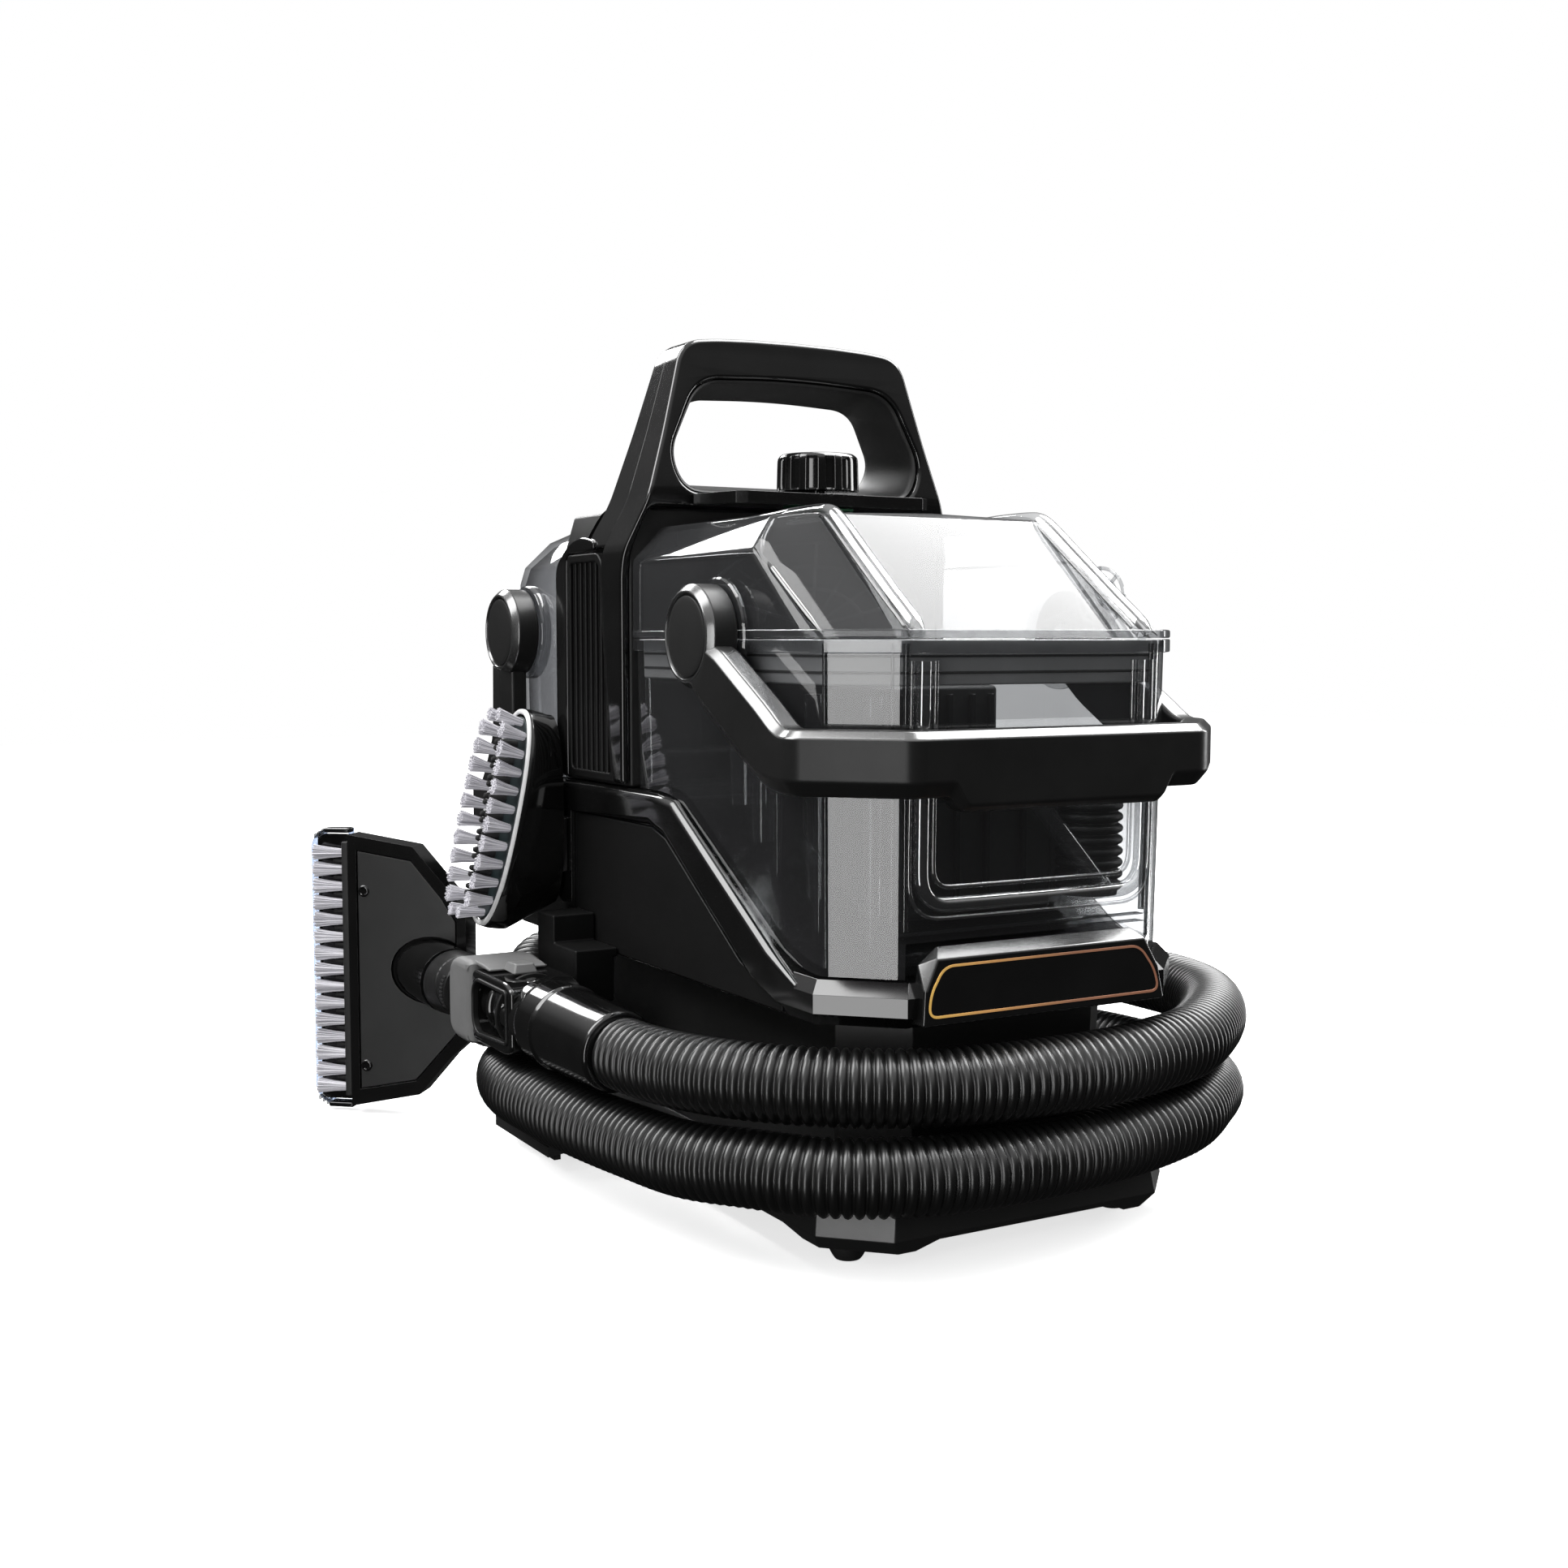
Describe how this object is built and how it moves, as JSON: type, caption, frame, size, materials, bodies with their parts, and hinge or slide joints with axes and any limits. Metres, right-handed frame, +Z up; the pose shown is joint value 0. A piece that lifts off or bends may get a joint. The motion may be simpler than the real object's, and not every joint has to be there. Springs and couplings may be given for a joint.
{
  "type": "spot extractor",
  "caption": "Portable spot extractor with a smoke clear recovery tank at the front, a clean water tank at the rear, a wrapped hose, two brush tools and a carry handle.",
  "frame": {"origin": "on the floor under the middle of the machine, which is the bottom centre of its overall box", "axes": "+Z up, -Y towards the front with the recovery tank, +X to the right as seen from the front"},
  "size_m": [0.4014, 0.4348, 0.4114],
  "materials": {
    "gloss_black": "high gloss moulded",
    "matte_black": "fine matte texture",
    "satin_grey": "satin moulded",
    "clear_smoke": "clear smoke tinted moulding",
    "rubber_black": "soft matte",
    "grip_grey": "soft overmould",
    "bristle_grey": "nylon filament",
    "metal": "machined",
    "white_plastic": "moulded",
    "board": "lacquered board"
  },
  "bodies": {
    "machine": {"lower_housing": "matte_black", "base_pan": "matte_black", "foot_pad_front_left": "rubber_black", "foot_pad_front_right": "rubber_black", "foot_pad_rear_left": "rubber_black", "foot_pad_rear_right": "rubber_black", "body_shell": "gloss_black", "side_panel_left": "matte_black", "side_panel_right": "matte_black", "cord_hook": "gloss_black", "power_cord": "rubber_black", "center_housing": "matte_black", "grille_left": "matte_black", "grille_right": "matte_black", "handle_front_shell": "gloss_black", "handle_rear_shell": "gloss_black", "handle_liner": "matte_black", "dial_platform": "gloss_black", "dial_switch": "matte_black", "motor_housing": "metal", "air_duct": "matte_black", "pump_body": "white_plastic", "steam_boiler": "metal", "circuit_board": "board", "hose": "rubber_black", "hose_port": "gloss_black", "hose_cuff": "gloss_black", "grip_body": "gloss_black", "grip_overmould": "grip_grey", "grip_neck": "satin_grey", "brush_clip": "matte_black", "tool_dock": "matte_black", "hose_rest_tab": "matte_black"},
    "dial": {"dial_knob": "gloss_black"},
    "front_tank": {"front_tank_tub": "clear_smoke", "tank_separator": "matte_black", "badge_plate": "gloss_black"},
    "float": {"tank_float": "rubber_black"},
    "lid": {"front_lid": "clear_smoke", "lid_gasket": "grip_grey"},
    "front_carry_bail": {"front_bail": "satin_grey", "front_hub_cap_left": "satin_grey", "front_hub_cap_right": "satin_grey"},
    "clean_tank": {"rear_tank": "clear_smoke", "tank_valve": "white_plastic"},
    "cap": {"fill_cap": "matte_black"},
    "rear_carry_bail": {"rear_bail": "satin_grey", "rear_hub_cap_left": "satin_grey", "rear_hub_cap_right": "satin_grey"},
    "rotor": {"motor_rotor": "metal", "motor_fan": "grip_grey"},
    "plunger": {"pump_plunger": "metal"},
    "trigger": {"spray_trigger": "satin_grey"},
    "release": {"release_button": "satin_grey"},
    "wide_tool": {"wide_tool_body": "gloss_black", "wide_tool_plate": "satin_grey", "wide_tool_nozzle": "clear_smoke", "wide_tool_bristles": "bristle_grey"},
    "oval_tool": {"oval_tool_body": "gloss_black", "oval_tool_bristles": "bristle_grey"}
  },
  "joints": [
    {"name": "dial_turn", "type": "hinge", "parent": "machine", "child": "dial", "pos_m": [0, -0.011, 0.343], "axis": [0, 0, 1], "range_deg": [-60, 60]},
    {"name": "front_tank_pull", "type": "slide", "parent": "machine", "child": "front_tank", "axis": [0, -1, 0], "range_m": [0, 0.15]},
    {"name": "lid_lift", "type": "slide", "parent": "front_tank", "child": "lid", "axis": [0, 0, 1], "range_m": [0, 0.003]},
    {"name": "float_rise", "type": "slide", "parent": "front_tank", "child": "float", "axis": [0, 0, 1], "range_m": [0, 0.018]},
    {"name": "front_bail_swing", "type": "hinge", "parent": "lid", "child": "front_carry_bail", "pos_m": [0, -0.0844, 0.263], "axis": [-1, 0, 0], "range_deg": [0, 112]},
    {"name": "clean_tank_lift", "type": "slide", "parent": "machine", "child": "clean_tank", "axis": [0, 0, 1], "range_m": [0, 0.15]},
    {"name": "fill_cap_turn", "type": "hinge", "parent": "clean_tank", "child": "cap", "pos_m": [0, 0.133, 0.326], "axis": [0, 0, 1], "range_deg": [0, 90]},
    {"name": "rear_bail_swing", "type": "hinge", "parent": "clean_tank", "child": "rear_carry_bail", "pos_m": [0, 0.1392, 0.2656], "axis": [1, 0, 0], "range_deg": [0, 145]},
    {"name": "fan_spin", "type": "hinge", "parent": "machine", "child": "rotor", "pos_m": [0, 0.058, 0.24], "axis": [0, 0, 1], "continuous": true},
    {"name": "pump_stroke", "type": "slide", "parent": "machine", "child": "plunger", "axis": [1, 0, 0], "range_m": [-0.004, 0.004]},
    {"name": "trigger_squeeze", "type": "hinge", "parent": "machine", "child": "trigger", "pos_m": [-0.1528, 0.0265, 0.0905], "axis": [1, 0, 0], "range_deg": [0, 12], "stiffness_Nm_per_rad": 0.02},
    {"name": "release_press", "type": "slide", "parent": "machine", "child": "release", "axis": [0, 0, -1], "range_m": [0, 0.001], "stiffness_N_per_m": 60},
    {"name": "wide_tool_pull", "type": "slide", "parent": "machine", "child": "wide_tool", "axis": [0.0242, 0.9997, 0], "range_m": [0, 0.05]},
    {"name": "oval_tool_undock", "type": "slide", "parent": "machine", "child": "oval_tool", "axis": [-0.8, 0, 0.6], "range_m": [0, 0.03]}
  ]
}
